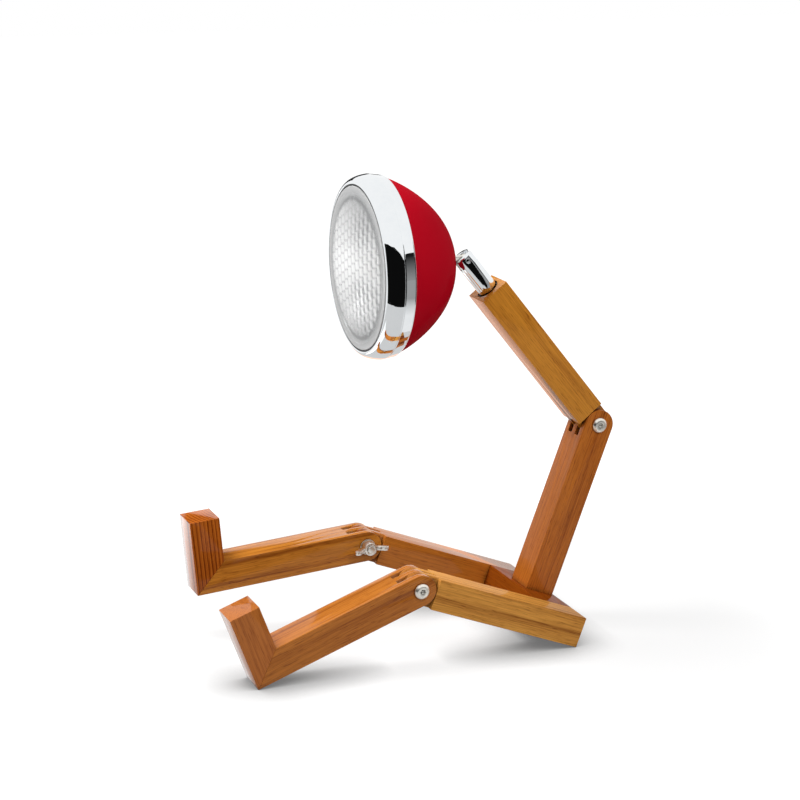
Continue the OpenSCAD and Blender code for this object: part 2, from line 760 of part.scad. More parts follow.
module reflector() {
    mouth = flange_front + reflector_wall;
    function bowl(r, back) = [r, reflector_apex - r * r / four_focal + back];
    steps = 12;
    radii = [for (k = [0:steps]) reflector_r - (reflector_r - neck_r) * k / steps];
    color(chrome) in_head() rotate_extrude()
        polygon(concat([[flange_r, mouth], [flange_r, flange_front]],
            [for (r = radii) bowl(r, 0)],
            [for (k = [steps:-1:0]) bowl(radii[k], 1.5 * reflector_wall)]));
}

module lampholder() {
    color("#efece2") in_head() translate([0, 0, holder_front]) difference() {
        cylinder(r = holder_r, h = holder_len);
        translate([0, 0, -1])
            cylinder(r = cap_r + glue_fit, h = bulb_sink + cap_len + face_fit + 1);
    }
}

module bulb_cap() {
    color(brass) in_head() translate([0, 0, bulb_foot]) cylinder(r = cap_r, h = cap_len);
}

module bulb_glass() {
    top = bulb_foot - bulb_len;
    shoulder_at = bulb_foot - bulb_neck_len;
    turns = [for (k = [1:8]) 90 * k / 8];
    color("#f4f1e6") in_head() rotate_extrude()
        polygon(concat([[0, bulb_foot], [bulb_neck_r, bulb_foot], [bulb_neck_r, shoulder_at],
            [bulb_r, shoulder_at - bulb_taper], [bulb_r, top + bulb_r]],
            [for (t = turns) [bulb_r * cos(t), top + bulb_r * (1 - sin(t))]]));
}

// A pad and a cross strap under the nut, and two legs that grip the lampholder
module holder_bracket() {
    leg_in = holder_r + glue_fit;
    leg_front = holder_back - leg_grip;
    color(steel) in_head() difference() {
        union() {
            translate([0, 0, bracket_floor + strap_t])
                cylinder(r = dome_seat_r - pad_inset, h = strap_t);
            translate([-leg_in - strap_t, -strap_w / 2, bracket_floor])
                cube([2 * (leg_in + strap_t), strap_w, strap_t]);
            for (s = [-1, 1])
                translate([s > 0 ? leg_in : -leg_in - strap_t, -strap_w / 2, leg_front])
                    cube([strap_t, strap_w, bracket_floor + strap_t - leg_front]);
        }
        translate([0, 0, bracket_floor - 1]) cylinder(r = stud_r + glue_fit, h = 4 * strap_t + 2);
    }
}

module head_lug() {
    color(steel) in_head() difference() {
        union() {
            translate([0, 0, stud_floor]) cylinder(r = stud_r, h = dome_back - stud_floor + 1);
            translate([0, 0, dome_back]) cylinder(r = lug_flange_r, h = lug_flange_t);
            translate([-lug_t / 2, -lug_bar_h / 2, dome_back])
                cube([lug_t, lug_bar_h, lug_reach]);
            translate([0, 0, pin_back]) rod_x(lug_eye_r, lug_t);
        }
        translate([0, 0, pin_back]) rod_x(pin_r + turn_fit, lug_t + 2);
        translate([0, 0, stud_floor - 1])
            cylinder(r = lead_bore_r, h = lead_turn - stud_floor + 1);
        translate([0, 0, lead_turn]) sphere(r = lead_bore_r);
        translate([0, 0, lead_turn]) rotate([-90, 0, 0])
            cylinder(r = lead_bore_r, h = lug_bar_h);
    }
}

module stud_washer() {
    color(steel) in_head() translate([0, 0, washer_floor]) difference() {
        cylinder(d = stud_washer_d, h = stud_washer_t);
        translate([0, 0, -1]) cylinder(r = stud_r + glue_fit, h = stud_washer_t + 2);
    }
}

module stud_nut() {
    color(steel) in_head() translate([0, 0, nut_floor]) difference() {
        cylinder(d = stud_nut_af / cos(30), h = stud_nut_t, $fn = 6);
        translate([0, 0, -1]) cylinder(r = stud_r + glue_fit, h = stud_nut_t + 2);
    }
}

module head_lead() {
    color(black) in_head() {
        translate([0, 0, holder_back]) cylinder(r = lead_r, h = lead_turn - holder_back);
        translate([0, 0, lead_turn]) sphere(r = lead_r);
        translate([0, 0, lead_turn]) rotate([-90, 0, 0])
            cylinder(r = lead_r, h = lug_bar_h / 2);
    }
}

thigh_left();
thigh_right();
hip_block();
hip_dowels();
torso();
torso_screw();
seat_lead();
cord_inlet();
waist_bolt();
waist_washer();
waist_wing_nut();
shin_left();
foot_left();
foot_dowels_left();
knee_bolt_left();
knee_washer_left();
knee_wing_nut_left();
shin_right();
foot_right();
foot_dowels_right();
knee_bolt_right();
knee_washer_right();
knee_wing_nut_right();
upper_arm();
arm_lead();
neck_bush();
neck_tube();
snap_ring();
neck_lead();
tilt_pin();
head_shell();
bezel_ring();
bezel_clips();
lens();
lens_gasket();
reflector();
lampholder();
holder_bracket();
bulb_glass();
bulb_cap();
head_lug();
stud_washer();
stud_nut();
head_lead();
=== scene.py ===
import bpy
import bmesh
import json
import math
import numpy as np
from mathutils import Matrix, Vector


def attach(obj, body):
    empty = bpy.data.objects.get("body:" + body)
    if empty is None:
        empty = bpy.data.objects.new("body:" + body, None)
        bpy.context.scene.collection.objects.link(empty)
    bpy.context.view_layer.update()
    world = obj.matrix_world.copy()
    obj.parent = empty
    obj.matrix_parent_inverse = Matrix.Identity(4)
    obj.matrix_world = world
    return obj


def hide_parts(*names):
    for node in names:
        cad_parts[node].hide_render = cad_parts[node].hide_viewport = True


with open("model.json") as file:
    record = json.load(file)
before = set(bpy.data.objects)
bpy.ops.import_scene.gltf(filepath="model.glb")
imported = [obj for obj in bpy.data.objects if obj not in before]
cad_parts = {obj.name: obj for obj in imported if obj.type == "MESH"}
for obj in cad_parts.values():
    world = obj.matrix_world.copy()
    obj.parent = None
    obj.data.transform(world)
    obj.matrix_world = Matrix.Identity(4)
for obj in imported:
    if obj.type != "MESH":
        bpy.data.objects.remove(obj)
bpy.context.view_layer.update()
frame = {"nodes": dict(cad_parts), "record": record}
nodes = frame["nodes"]
print("frame loaded,", len(nodes), "parts")

# Places of the lamp's own axes, in millimetres and degrees
posture = {
    "seatPitch": 20.6,
    "leftShinFall": 20.6,
    "rightShinFall": 5.1,
    "armLean": 38.7,
    "headDip": 0.6,
    "kneeX": 61.75,
    "kneeY": -18.5808,
    "kneeZ": 63.7733,
    "waistY": 162.0338,
    "waistZ": 166.2799,
    "seatY": 115.5579,
    "pinUp": 183.0,
    "pinBack": 91.4012,
}


def turnX(degrees):
    return Matrix.Rotation(math.radians(degrees), 4, "X")


def moveBy(x, y, z):
    return Matrix.Translation(Vector((x, y, z)) / 1000)


# Each frame has the origin and directions that its pieces are drawn in
seatFrame = moveBy(0, posture["seatY"], 0) @ turnX(-posture["seatPitch"])
waistFrame = moveBy(0, posture["waistY"], posture["waistZ"])
armFrame = waistFrame @ turnX(posture["armLean"])
headFrame = (armFrame @ moveBy(0, 0, posture["pinUp"])
             @ turnX(-posture["armLean"] - 90 + posture["headDip"])
             @ moveBy(0, 0, -posture["pinBack"]))


def kneeFrame(side, fall=0.0):
    return moveBy(side * posture["kneeX"], posture["kneeY"], posture["kneeZ"]) @ turnX(fall)


def linear(hexColour):
    channels = np.array([int(hexColour[i:i + 2], 16) / 255 for i in (1, 3, 5)])
    curved = ((channels + 0.055) / 1.055) ** 2.4
    return (*np.where(channels <= 0.04045, channels / 12.92, curved), 1.0)


def addNode(tree, kind, values=None, links=None, stops=None, **settings):
    node = tree.nodes.new("ShaderNode" + kind)
    for name, value in settings.items():
        setattr(node, name, value)
    for socket, value in (values or {}).items():
        node.inputs[socket].default_value = value
    for socket, source in (links or {}).items():
        tree.links.new(source, node.inputs[socket])
    if stops:
        ramp = node.color_ramp
        while len(ramp.elements) < len(stops):
            ramp.elements.new(1.0)
        for element, (position, colour) in zip(ramp.elements, stops):
            element.position = position
            element.color = colour if len(colour) == 4 else (*colour, 1.0)
    return node


def bareMaterial(name):
    material = bpy.data.materials.new(name)
    material.use_nodes = True
    material.node_tree.nodes.clear()
    return material, material.node_tree


def newMaterial(name, shaderValues):
    material, tree = bareMaterial(name)
    shader = addNode(tree, "BsdfPrincipled", shaderValues)
    addNode(tree, "OutputMaterial", links={"Surface": shader.outputs[0]})
    return material, tree, shader


def grey(level):
    return (level, level, level, 1.0)


# Teak-like hardwood, planed and sanded, under clear gloss lacquer: each bar has its own brown, with
# thin darker late-wood lines, open pores that show as short dark dashes along the grain, and a
# smooth coat that mirrors the white room where it is seen at a low angle.
woodLook = {
    "roughness": 0.5,
    "coatRoughness": 0.07,
    "coatIor": 1.3,
    "ringWaver": 6.0,
    "ringPress": 0.12,  # pressed together lengthwise, the rings waver slowly along the bar
    "patchesPerMetre": 30.0,
    "fibreWidthMm": 0.9,  # real fibres are finer; drawn this coarse so that they show
    "fibreLengthMm": 38.0,
    "poreWidthMm": 0.7,
    "poreLengthMm": 9.0,
    "poreDepthMm": 0.04,
    "poreDark": 0.36,
    # how far the painted shade in slots and inner corners reaches
    "cornerShadeMm": 8.0,
}


def makeWood():
    look = woodLook
    material, tree, shader = newMaterial("lacquered_hardwood", {
        "Roughness": look["roughness"], "IOR": 1.5, "Specular IOR Level": 0.0,
        "Coat Roughness": look["coatRoughness"], "Coat IOR": look["coatIor"]})
    place = addNode(tree, "Attribute", attribute_name="grainPlace").outputs["Vector"]
    timber = addNode(tree, "Attribute", attribute_name="timberColour").outputs["Color"]
    cut = addNode(tree, "SeparateXYZ", None, {
        0: addNode(tree, "Attribute", attribute_name="timberCut").outputs["Vector"]}).outputs
    tree.links.new(cut[2], shader.inputs["Coat Weight"])  # how much lacquer the bar carries
    # Rings run round the pith, darkening slowly to the late wood and breaking off sharply after it
    ringPlace = addNode(tree, "Mapping", {"Scale": (1, 1, look["ringPress"])}, {"Vector": place}).outputs[0]
    # A wave's pitch is pi / 10 over its scale, so the scale is pi / 10 over the pitch in metres
    ringScale = addNode(tree, "Math", {0: math.pi / 10 * 1000}, {1: cut[1]}, operation="DIVIDE").outputs[0]
    rings = addNode(tree, "TexWave", {
        "Distortion": look["ringWaver"], "Detail": 3.0, "Detail Scale": 0.22, "Detail Roughness": 0.62},
        {"Vector": ringPlace, "Scale": ringScale},
        wave_type="RINGS", rings_direction="Z", wave_profile="SAW").outputs["Fac"]
    lateWood = addNode(tree, "ValToRGB", None, {"Fac": rings}, [
        (0.0, grey(0.0)), (0.55, grey(0.12)), (0.86, grey(1.0)), (0.93, grey(0.25)),
        (1.0, grey(0.0))]).outputs[0]
    patches = addNode(tree, "TexNoise", {"Scale": look["patchesPerMetre"], "Detail": 2.0},
                      {"Vector": ringPlace}).outputs["Fac"]
    strong = addNode(tree, "MapRange", {"From Min": 0.35, "From Max": 0.68, "To Min": 0.15, "To Max": 1.0},
                     {"Value": patches}).outputs[0]
    fibrePlace = addNode(tree, "Mapping", {"Scale": (1, 1, look["fibreWidthMm"] / look["fibreLengthMm"])},
                         {"Vector": place}).outputs[0]
    fibres = addNode(tree, "TexNoise", {
        "Scale": 1000 / look["fibreWidthMm"], "Detail": 3.0, "Roughness": 0.6},
        {"Vector": fibrePlace}).outputs["Fac"]
    porePlace = addNode(tree, "Mapping", {"Scale": (1, 1, look["poreWidthMm"] / look["poreLengthMm"])},
                        {"Vector": place}).outputs[0]
    pores = addNode(tree, "TexNoise", {
        "Scale": 1000 / look["poreWidthMm"], "Detail": 1.0, "Roughness": 0.5},
        {"Vector": porePlace}).outputs["Fac"]
    poreMask = addNode(tree, "MapRange", {"From Min": 0.6, "From Max": 0.72}, {"Value": pores}).outputs[0]
    # Darkness adds up from late wood, fibres, patches and pores, and turns the brown deeper and redder
    lateShare = addNode(tree, "Math", None, {0: lateWood, 1: strong}, operation="MULTIPLY").outputs[0]
    lateDark = addNode(tree, "Math", None, {0: lateShare, 1: cut[0]}, operation="MULTIPLY").outputs[0]
    fibreDark = addNode(tree, "MapRange", {
        "From Min": 0.3, "From Max": 0.72, "To Min": -0.12, "To Max": 0.42}, {"Value": fibres}).outputs[0]
    patchDark = addNode(tree, "MapRange", {
        "From Min": 0.3, "From Max": 0.7, "To Min": -0.12, "To Max": 0.16}, {"Value": patches}).outputs[0]
    poreDark = addNode(tree, "Math", {1: look["poreDark"]}, {0: poreMask}, operation="MULTIPLY").outputs[0]
    dark = addNode(tree, "Math", None, {0: lateDark, 1: fibreDark}, operation="ADD").outputs[0]
    dark = addNode(tree, "Math", None, {0: dark, 1: patchDark}, operation="ADD").outputs[0]
    dark = addNode(tree, "Math", None, {0: dark, 1: poreDark}, operation="ADD").outputs[0]
    tint = addNode(tree, "ValToRGB", None, {"Fac": dark}, [
        (0.0, (1.12, 1.12, 1.1)), (0.35, (0.82, 0.74, 0.68)), (0.7, (0.52, 0.4, 0.34)),
        (1.0, (0.3, 0.2, 0.16))]).outputs[0]
    # Painted shade: the colour darkens in the slots and the inner corners, by how closed in each point is
    shadeOpenness = addNode(tree, "AmbientOcclusion", {"Distance": look["cornerShadeMm"] / 1000}, samples=4).outputs["AO"]
    paintedCornerShade = addNode(tree, "MapRange", {"From Min": 0.1, "From Max": 0.7, "To Min": 0.08, "To Max": 1.0},
                          {"Value": shadeOpenness}).outputs[0]
    colour = addNode(tree, "Mix", {0: 1.0}, {6: timber, 7: tint},
                     data_type="RGBA", blend_type="MULTIPLY").outputs[2]
    colour = addNode(tree, "Mix", {0: 1.0}, {6: colour, 7: paintedCornerShade},
                     data_type="RGBA", blend_type="MULTIPLY").outputs[2]
    tree.links.new(colour, shader.inputs["Base Color"])
    height = addNode(tree, "Math", None, {0: fibres, 1: poreMask}, operation="SUBTRACT").outputs[0]
    bump = addNode(tree, "Bump", {"Strength": 0.15, "Distance": look["poreDepthMm"] / 1000},
                   {"Height": height}).outputs[0]
    tree.links.new(bump, shader.inputs["Normal"])
    return material


# Red stove enamel on pressed steel: even colour, a satin sheen, the faintest orange peel
paintLook = {"red": "#c90d23", "redDeep": "#b80b1e", "roughness": 0.3, "coat": 0.02, "coatRoughness": 0.05,
             "driftsPerMetre": 18.0, "peelMm": 2.2, "peelDepthMm": 0.004}


def makePaint():
    look = paintLook
    material, tree, shader = newMaterial("red_stove_enamel", {
        "Roughness": look["roughness"], "IOR": 1.5, "Specular IOR Level": 0.0,
        "Coat Weight": look["coat"], "Coat Roughness": look["coatRoughness"]})
    place = addNode(tree, "TexCoord").outputs["Object"]
    drift = addNode(tree, "TexNoise", {"Scale": look["driftsPerMetre"], "Detail": 2.0},
                    {"Vector": place}).outputs["Fac"]
    colour = addNode(tree, "Mix", {6: linear(look["red"]), 7: linear(look["redDeep"])},
                     {0: drift}, data_type="RGBA").outputs[2]
    tree.links.new(colour, shader.inputs["Base Color"])
    peel = addNode(tree, "TexNoise", {"Scale": 1000 / look["peelMm"], "Detail": 1.0},
                   {"Vector": place}).outputs["Fac"]
    bump = addNode(tree, "Bump", {"Strength": 0.25, "Distance": look["peelDepthMm"] / 1000},
                   {"Height": peel}).outputs[0]
    tree.links.new(bump, shader.inputs["Normal"])
    return material


# Polished chromium plate: a mirror with a cool cast and the lightest wipe marks
chromeLook = {"tint": "#f4f6f7", "dull": "#e9edf0", "roughness": 0.03, "wipeMm": 9.0}


def makeMetal(name, look):
    material, tree, shader = newMaterial(name, {"Metallic": 1.0})
    place = addNode(tree, "TexCoord").outputs["Object"]
    wipe = addNode(tree, "TexNoise", {"Scale": 1000 / look["wipeMm"], "Detail": 4.0, "Roughness": 0.7},
                   {"Vector": place}).outputs["Fac"]
    colour = addNode(tree, "Mix", {6: linear(look["tint"]), 7: linear(look["dull"])},
                     {0: wipe}, data_type="RGBA").outputs[2]
    gloss = addNode(tree, "MapRange", {
        "To Min": look["roughness"] * 0.75, "To Max": look["roughness"] * 1.35},
        {"Value": wipe}).outputs[0]
    # Painted shade: the colour darkens down in hollows, by how closed in each point is
    if "recessMm" in look:
        shadeOpenness = addNode(tree, "AmbientOcclusion", {"Distance": look["recessMm"] / 1000},
                         samples=4).outputs["AO"]
        recessShade = addNode(tree, "MapRange", {
            "From Min": look["recessFrom"], "From Max": look["recessTo"],
            "To Min": look["recessShadeDark"], "To Max": 1.0}, {"Value": shadeOpenness}).outputs[0]
        colour = addNode(tree, "Mix", {0: 1.0}, {6: colour, 7: recessShade}, data_type="RGBA",
                         blend_type="MULTIPLY").outputs[2]
    tree.links.new(colour, shader.inputs["Base Color"])
    tree.links.new(gloss, shader.inputs["Roughness"])
    return material


# Nickel plated, turned steel: softer and slightly warmer than the chrome, with painted shade darkening its
# recesses
nickelLook = {"tint": "#fbf8f1", "dull": "#ece8de", "roughness": 0.33, "wipeMm": 1.5,
              "recessMm": 2.6, "recessFrom": 0.38, "recessTo": 0.68, "recessShadeDark": 0.02}
# Spun aluminium under a bright vacuum coat, as inside a headlamp
reflectorLook = {"tint": "#f0f1f0", "dull": "#e4e6e6", "roughness": 0.15, "wipeMm": 14.0}
# Turned brass of the bulb's cap
brassLook = {"tint": "#d2ab5c", "dull": "#b08a40", "roughness": 0.25, "wipeMm": 2.0}

# Pressed clear glass, smooth outside, with painted light and shade in its colour for what it refracts: white
# in the middles of the cells, grey at their edges
glassLook = {"paintedLitCell": "#ffffff", "paintedShadedCell": "#9a9c9d", "roughness": 0.03, "ior": 1.52, "clear": 0.6,
             "paintedGlow": 0.12}


def makeGlass():
    look = glassLook
    material, tree, shader = newMaterial("pressed_clear_glass", {
        "Roughness": look["roughness"], "IOR": look["ior"], "Transmission Weight": look["clear"],
        "Emission Color": linear(look["paintedLitCell"])})
    cellShadeAmount = addNode(tree, "Attribute", attribute_name="cellPaintedShade").outputs["Fac"]
    colour = addNode(tree, "Mix", {6: linear(look["paintedLitCell"]), 7: linear(look["paintedShadedCell"])}, {0: cellShadeAmount},
                     data_type="RGBA").outputs[2]
    tree.links.new(colour, shader.inputs["Base Color"])
    # Painted glow: the glass itself glows, brightest in the middles of the cells, standing in for light that
    # the reflector would gather
    back = addNode(tree, "MapRange", {"To Min": look["paintedGlow"], "To Max": 0.0},
                   {"Value": cellShadeAmount}).outputs[0]
    tree.links.new(back, shader.inputs["Emission Strength"])
    return material


def makePlain(name, colourA, colourB, roughness, grainMm, depthMm, values=None):
    material, tree, shader = newMaterial(name, {"Roughness": roughness, **(values or {})})
    place = addNode(tree, "TexCoord").outputs["Object"]
    grain = addNode(tree, "TexNoise", {"Scale": 1000 / grainMm, "Detail": 3.0},
                    {"Vector": place}).outputs["Fac"]
    colour = addNode(tree, "Mix", {6: linear(colourA), 7: linear(colourB)}, {0: grain},
                     data_type="RGBA").outputs[2]
    tree.links.new(colour, shader.inputs["Base Color"])
    bump = addNode(tree, "Bump", {"Strength": 0.4, "Distance": depthMm / 1000},
                   {"Height": grain}).outputs[0]
    tree.links.new(bump, shader.inputs["Normal"])
    return material


materials = {
    "lacquered_wood": makeWood(),
    "red_paint": makePaint(),
    "chrome": makeMetal("polished_chromium_plate", chromeLook),
    "plated_steel": makeMetal("nickel_plated_steel", nickelLook),
    "reflector_coat": makeMetal("vacuum_coated_aluminium", reflectorLook),
    "brass": makeMetal("turned_brass", brassLook),
    "pressed_glass": makeGlass(),
    # Opal glass of the bulb: white body that glows through
    "bulb_glass": makePlain("opal_glass", "#f6f3ea", "#efeadd", 0.12, 6.0, 0.01,
                            {"Subsurface Weight": 0.2}),
    # Steatite ceramic of the lampholder: dry, off white, faintly speckled
    "lampholder_ceramic": makePlain("steatite_ceramic", "#efece2", "#dcd8cb", 0.5, 0.8, 0.03),
    # Moulded rubber: near black with a dry bloom
    "black_rubber": makePlain("moulded_rubber", "#1c1c1d", "#2a2a2b", 0.62, 0.6, 0.03),
    # Extruded sheath of the lead
    "lead_sheath": makePlain("extruded_sheath", "#161617", "#202022", 0.38, 0.7, 0.01),
    # Bare turned beech of the dowels
    "dowel_wood": makePlain("turned_beech", "#c79b68", "#ab7d4b", 0.55, 1.2, 0.03),
}
print("materials made:", len(materials))

slotOf = {entry["node"]: entry["material_slot"] for entry in frame["record"]["subparts"]}
bodyOf = {node: body for body, members in frame["record"]["behaviour"]["bodies"].items()
          for node in members}
for name, part in nodes.items():
    part.data.materials.clear()
    part.data.materials.append(materials[slotOf[name]])


def finishPiece(piece, standsFor, slotName):
    piece.data.materials.clear()
    piece.data.materials.append(materials[slotName])
    bpy.context.scene.collection.objects.link(piece)
    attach(piece, bodyOf[standsFor[0]])
    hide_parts(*standsFor)


def loopsOf(edges):
    # The closed chains of vertices that a set of edges makes
    following = {}
    for edge in edges:
        for vertex in edge.verts:
            following.setdefault(vertex, []).append(edge.other_vert(vertex))
    loops = []
    while following:
        vertex = next(iter(following))
        loop = []
        while vertex in following:
            loop.append(vertex)
            onward = [other for other in following.pop(vertex) if other in following]
            vertex = onward[0] if onward else None
        loops.append(loop)
    return loops


def walkLoop(loop, begin, end, step):
    path = [begin]
    while path[-1] != end:
        path.append((path[-1] + step) % len(loop))
    return [loop[k] for k in path]


def middleOf(path):
    return sum((vertex.co for vertex in path), Vector()) / len(path)


flatAngle = 0.004  # radians between two faces that count as one flat


def flatRound(start):
    # The face and all that lie in one plane with it
    region, waiting = {start}, [start]
    while waiting:
        for edge in waiting.pop().edges:
            if len(edge.link_faces) == 2 and edge.calc_face_angle(9) < flatAngle:
                fresh = [face for face in edge.link_faces if face not in region]
                region.update(fresh)
                waiting.extend(fresh)
    return region


def splitAcrossHoles(shape):
    # A flat with a hole was left split along slanting lines, which spoil a rounded edge. It is split
    # again along the two shortest lines from the hole to the outline.
    shape.normal_update()
    shape.faces.index_update()
    done = set()
    for start in list(shape.faces):
        if start in done:
            continue
        region = flatRound(start)
        done |= region
        if len(region) == 1:
            continue
        outline = [edge for face in sorted(region, key=lambda face: face.index) for edge in face.edges
                   if sum(other in region for other in edge.link_faces) == 1]
        loops = loopsOf(outline)
        if len(loops) != 2:
            continue
        hole, outer = sorted(loops, key=len)
        reach = [max((vertex.co - loop[0].co).length for vertex in loop) for loop in (hole, outer)]
        if reach[0] > reach[1]:
            hole, outer = outer, hole
        count = len(hole)
        nearest = [min(range(len(outer)), key=lambda k, v=v: (outer[k].co - v.co).length) for v in hole]
        lengths = [(outer[near].co - v.co).length for near, v in zip(nearest, hole)]
        first = min(range(count // 2), key=lambda k: lengths[k] + lengths[k + count // 2])
        second = first + count // 2
        if nearest[first] == nearest[second]:
            continue
        normal, material = start.normal.copy(), start.material_index
        bmesh.ops.delete(shape, geom=list(region), context="FACES_ONLY")
        # The hole's two halves go to the outline's two halves, whichever way round each chain runs
        halves = [walkLoop(hole, first, second, step) for step in (1, -1)]
        sides = [walkLoop(outer, nearest[first], nearest[second], step) for step in (1, -1)]
        straight, crossed = (sum((middleOf(half) - middleOf(side)).length for half, side in pairs)
                             for pairs in (zip(halves, sides), zip(halves, sides[::-1])))
        if crossed < straight:
            sides.reverse()
        for half, side in zip(halves, sides):
            face = shape.faces.new(side + half[::-1])
            face.material_index = material
            face.normal_update()
            if face.normal.dot(normal) < 0:
                face.normal_flip()
            done.add(face)
    loose = [edge for edge in shape.edges if not edge.link_faces]
    bmesh.ops.delete(shape, geom=loose, context="EDGES")


def mergedCopy(name, node, roundMm, segments, sharpDegrees):
    # A copy of a part with its loose triangles merged, its flats joined and its outer edges rounded
    mesh = nodes[node].data.copy()
    mesh.name = name
    shape = bmesh.new()
    shape.from_mesh(mesh)
    bmesh.ops.remove_doubles(shape, verts=shape.verts, dist=2e-6)
    bmesh.ops.dissolve_limit(shape, angle_limit=math.radians(0.3), verts=shape.verts, edges=shape.edges)
    splitAcrossHoles(shape)
    weights = shape.edges.layers.float.new("bevel_weight_edge")
    limit = math.radians(sharpDegrees)
    for edge in shape.edges:
        edge[weights] = float(len(edge.link_faces) == 2 and edge.calc_face_angle_signed(0) > limit)
    shape.to_mesh(mesh)
    shape.free()
    piece = bpy.data.objects.new(name, mesh)
    mesh.shade_smooth()
    rounding = piece.modifiers.new("rounding", "BEVEL")
    rounding.width = roundMm / 1000
    rounding.segments = segments
    rounding.limit_method = "WEIGHT"
    rounding.harden_normals = True
    rounding.use_clamp_overlap = True
    rounding.loop_slide = False
    return piece


# Wooden bars: the frame each is drawn in and the direction of its grain, then the timber's own brown,
# its share of lacquer, how strongly its late wood is drawn, its ring pitch, and where in the log it was
# cut, in millimetres across, through and along the bar from the pith
barEdge = {"roundMm": 0.55, "segments": 3, "sharpDegrees": 35}
leftKnee, rightKnee = kneeFrame(1, posture["leftShinFall"]), kneeFrame(-1, posture["rightShinFall"])
bars = {
    "thigh_left": (seatFrame, "Y", {"timber": "#e6a44e", "gloss": 0.22, "figure": 0.5, "pitchMm": 6.5,
                                    "log": (34, 22, 40), "innerFingers": True}),
    "thigh_right": (seatFrame, "Y", {"timber": "#c5772b", "gloss": 0.9, "figure": 0.45, "pitchMm": 7.0,
                                     "log": (-41, 30, 180), "innerFingers": True}),
    # the hip block's brown is partly its own darker timber and partly painted shade from the torso and thighs
    # around it
    "hip_block": (seatFrame, "X", {"timber": "#94490f", "gloss": 0.35, "figure": 0.4, "pitchMm": 5.5,
                                   "log": (28, -36, 330)}),
    "torso": (seatFrame, "Z", {"timber": "#c6732b", "gloss": 0.6, "figure": 0.35, "pitchMm": 5.0,
                               "log": (52, 31, 460)}),
    "shin_left": (leftKnee, "Y", {"timber": "#c4782f", "gloss": 1.0, "figure": 0.7, "pitchMm": 8.0,
                                  "log": (26, 47, 610)}),
    "foot_left": (leftKnee, "Z", {"timber": "#ba6e32", "gloss": 0.85, "figure": 0.3, "pitchMm": 6.0,
                                  "log": (45, 12, 700)}),
    "shin_right": (rightKnee, "Y", {"timber": "#d18631", "gloss": 1.0, "figure": 0.6, "pitchMm": 6.5,
                                    "log": (-30, 38, 820)}),
    "foot_right": (rightKnee, "Z", {"timber": "#c26a22", "gloss": 0.85, "figure": 1.0, "pitchMm": 3.0,
                                    "log": (20, 26, 930)}),
    "upper_arm": (armFrame, "Z", {"timber": "#d28b31", "gloss": 1.0, "figure": 0.4, "pitchMm": 6.5,
                                  "log": (38, -28, 1040)}),
}
turnTo = {"X": (1, 2, 0), "Y": (2, 0, 1), "Z": (0, 1, 2)}
# The inner fingers of a knee show end grain at their round tips, which takes the lacquer darker; their colour
# is also darkened as painted shade, where they sit between the other bar's fingers
fingerTip = {"shade": (0.62, 0.52, 0.5, 1.0), "reachMm": 16.5, "beyondMm": 2.0}


def addValues(mesh, name, kind, key, values):
    values = np.ascontiguousarray(values, np.float32)
    mesh.attributes.new(name, kind, "POINT").data.foreach_set(key, values.ravel())


def makeBar(node, place, along, bar):
    piece = mergedCopy(node + "_lacquered", node, **barEdge)
    mesh = piece.data
    count = len(mesh.vertices)
    points = np.empty(count * 3, np.float32)
    mesh.vertices.foreach_get("co", points)
    points = points.reshape(-1, 3)
    # Grain place: the point in the bar's own frame, its length as the third number, moved into the log
    inverse = np.array(place.inverted())
    local = points @ inverse[:3, :3].T + inverse[:3, 3]
    addValues(mesh, "grainPlace", "FLOAT_VECTOR", "vector",
              local[:, turnTo[along]] + np.array(bar["log"]) / 1000)
    colour = np.tile(np.array(linear(bar["timber"]), np.float32), (count, 1))
    if bar.get("innerFingers"):
        # The tips are the points within a finger's reach of the hinge and beyond it along the bar
        hinge = np.array([0, posture["kneeY"], posture["kneeZ"], 1000]) / 1000
        near = np.linalg.norm(points[:, 1:] - hinge[1:3], axis=1) < fingerTip["reachMm"] / 1000
        beyond = local[:, 1] < (inverse @ hinge)[1] - fingerTip["beyondMm"] / 1000
        colour[near & beyond] *= np.array(fingerTip["shade"], np.float32)
    addValues(mesh, "timberColour", "FLOAT_COLOR", "color", colour)
    addValues(mesh, "timberCut", "FLOAT_VECTOR", "vector",
              np.tile([bar["figure"], bar["pitchMm"], bar["gloss"]], (count, 1)))
    finishPiece(piece, [node], "lacquered_wood")


for node, (place, along, bar) in bars.items():
    makeBar(node, place, along, bar)
print("wooden bars made:", len(bars))


def gridMesh(name, points, place, pointValues=None):
    # A closed surface from a grid of points: rows along the outline, columns round the axis.
    # The last column joins the first, and a row that shrinks to a point closes as a pole.
    rows, columns = points.shape[:2]
    matrix = np.array(place)
    flat = points.reshape(-1, 3) / 1000 @ matrix[:3, :3].T + matrix[:3, 3]
    row, column = np.meshgrid(np.arange(rows - 1), np.arange(columns), indexing="ij")
    across = (column + 1) % columns
    quads = np.stack([row * columns + column, row * columns + across,
                      (row + 1) * columns + across, (row + 1) * columns + column], -1).reshape(-1, 4)
    mesh = bpy.data.meshes.new(name)
    mesh.from_pydata(flat, [], quads)
    for key, values in (pointValues or {}).items():
        addValues(mesh, key, "FLOAT", "value", values)
    shape = bmesh.new()
    shape.from_mesh(mesh)
    bmesh.ops.remove_doubles(shape, verts=shape.verts, dist=1e-7)
    bmesh.ops.recalc_face_normals(shape, faces=shape.faces)
    shape.to_mesh(mesh)
    shape.free()
    mesh.shade_smooth()
    return bpy.data.objects.new(name, mesh)


def turned(profile, columns):
    # A lathe: the outline's radius and depth carried round the axis
    profile = np.asarray(profile, float)
    angle = np.linspace(0, 2 * np.pi, columns, endpoint=False)
    return np.stack([profile[:, :1] * np.cos(angle), profile[:, :1] * np.sin(angle),
                     np.repeat(profile[:, 1:], columns, 1)], -1)


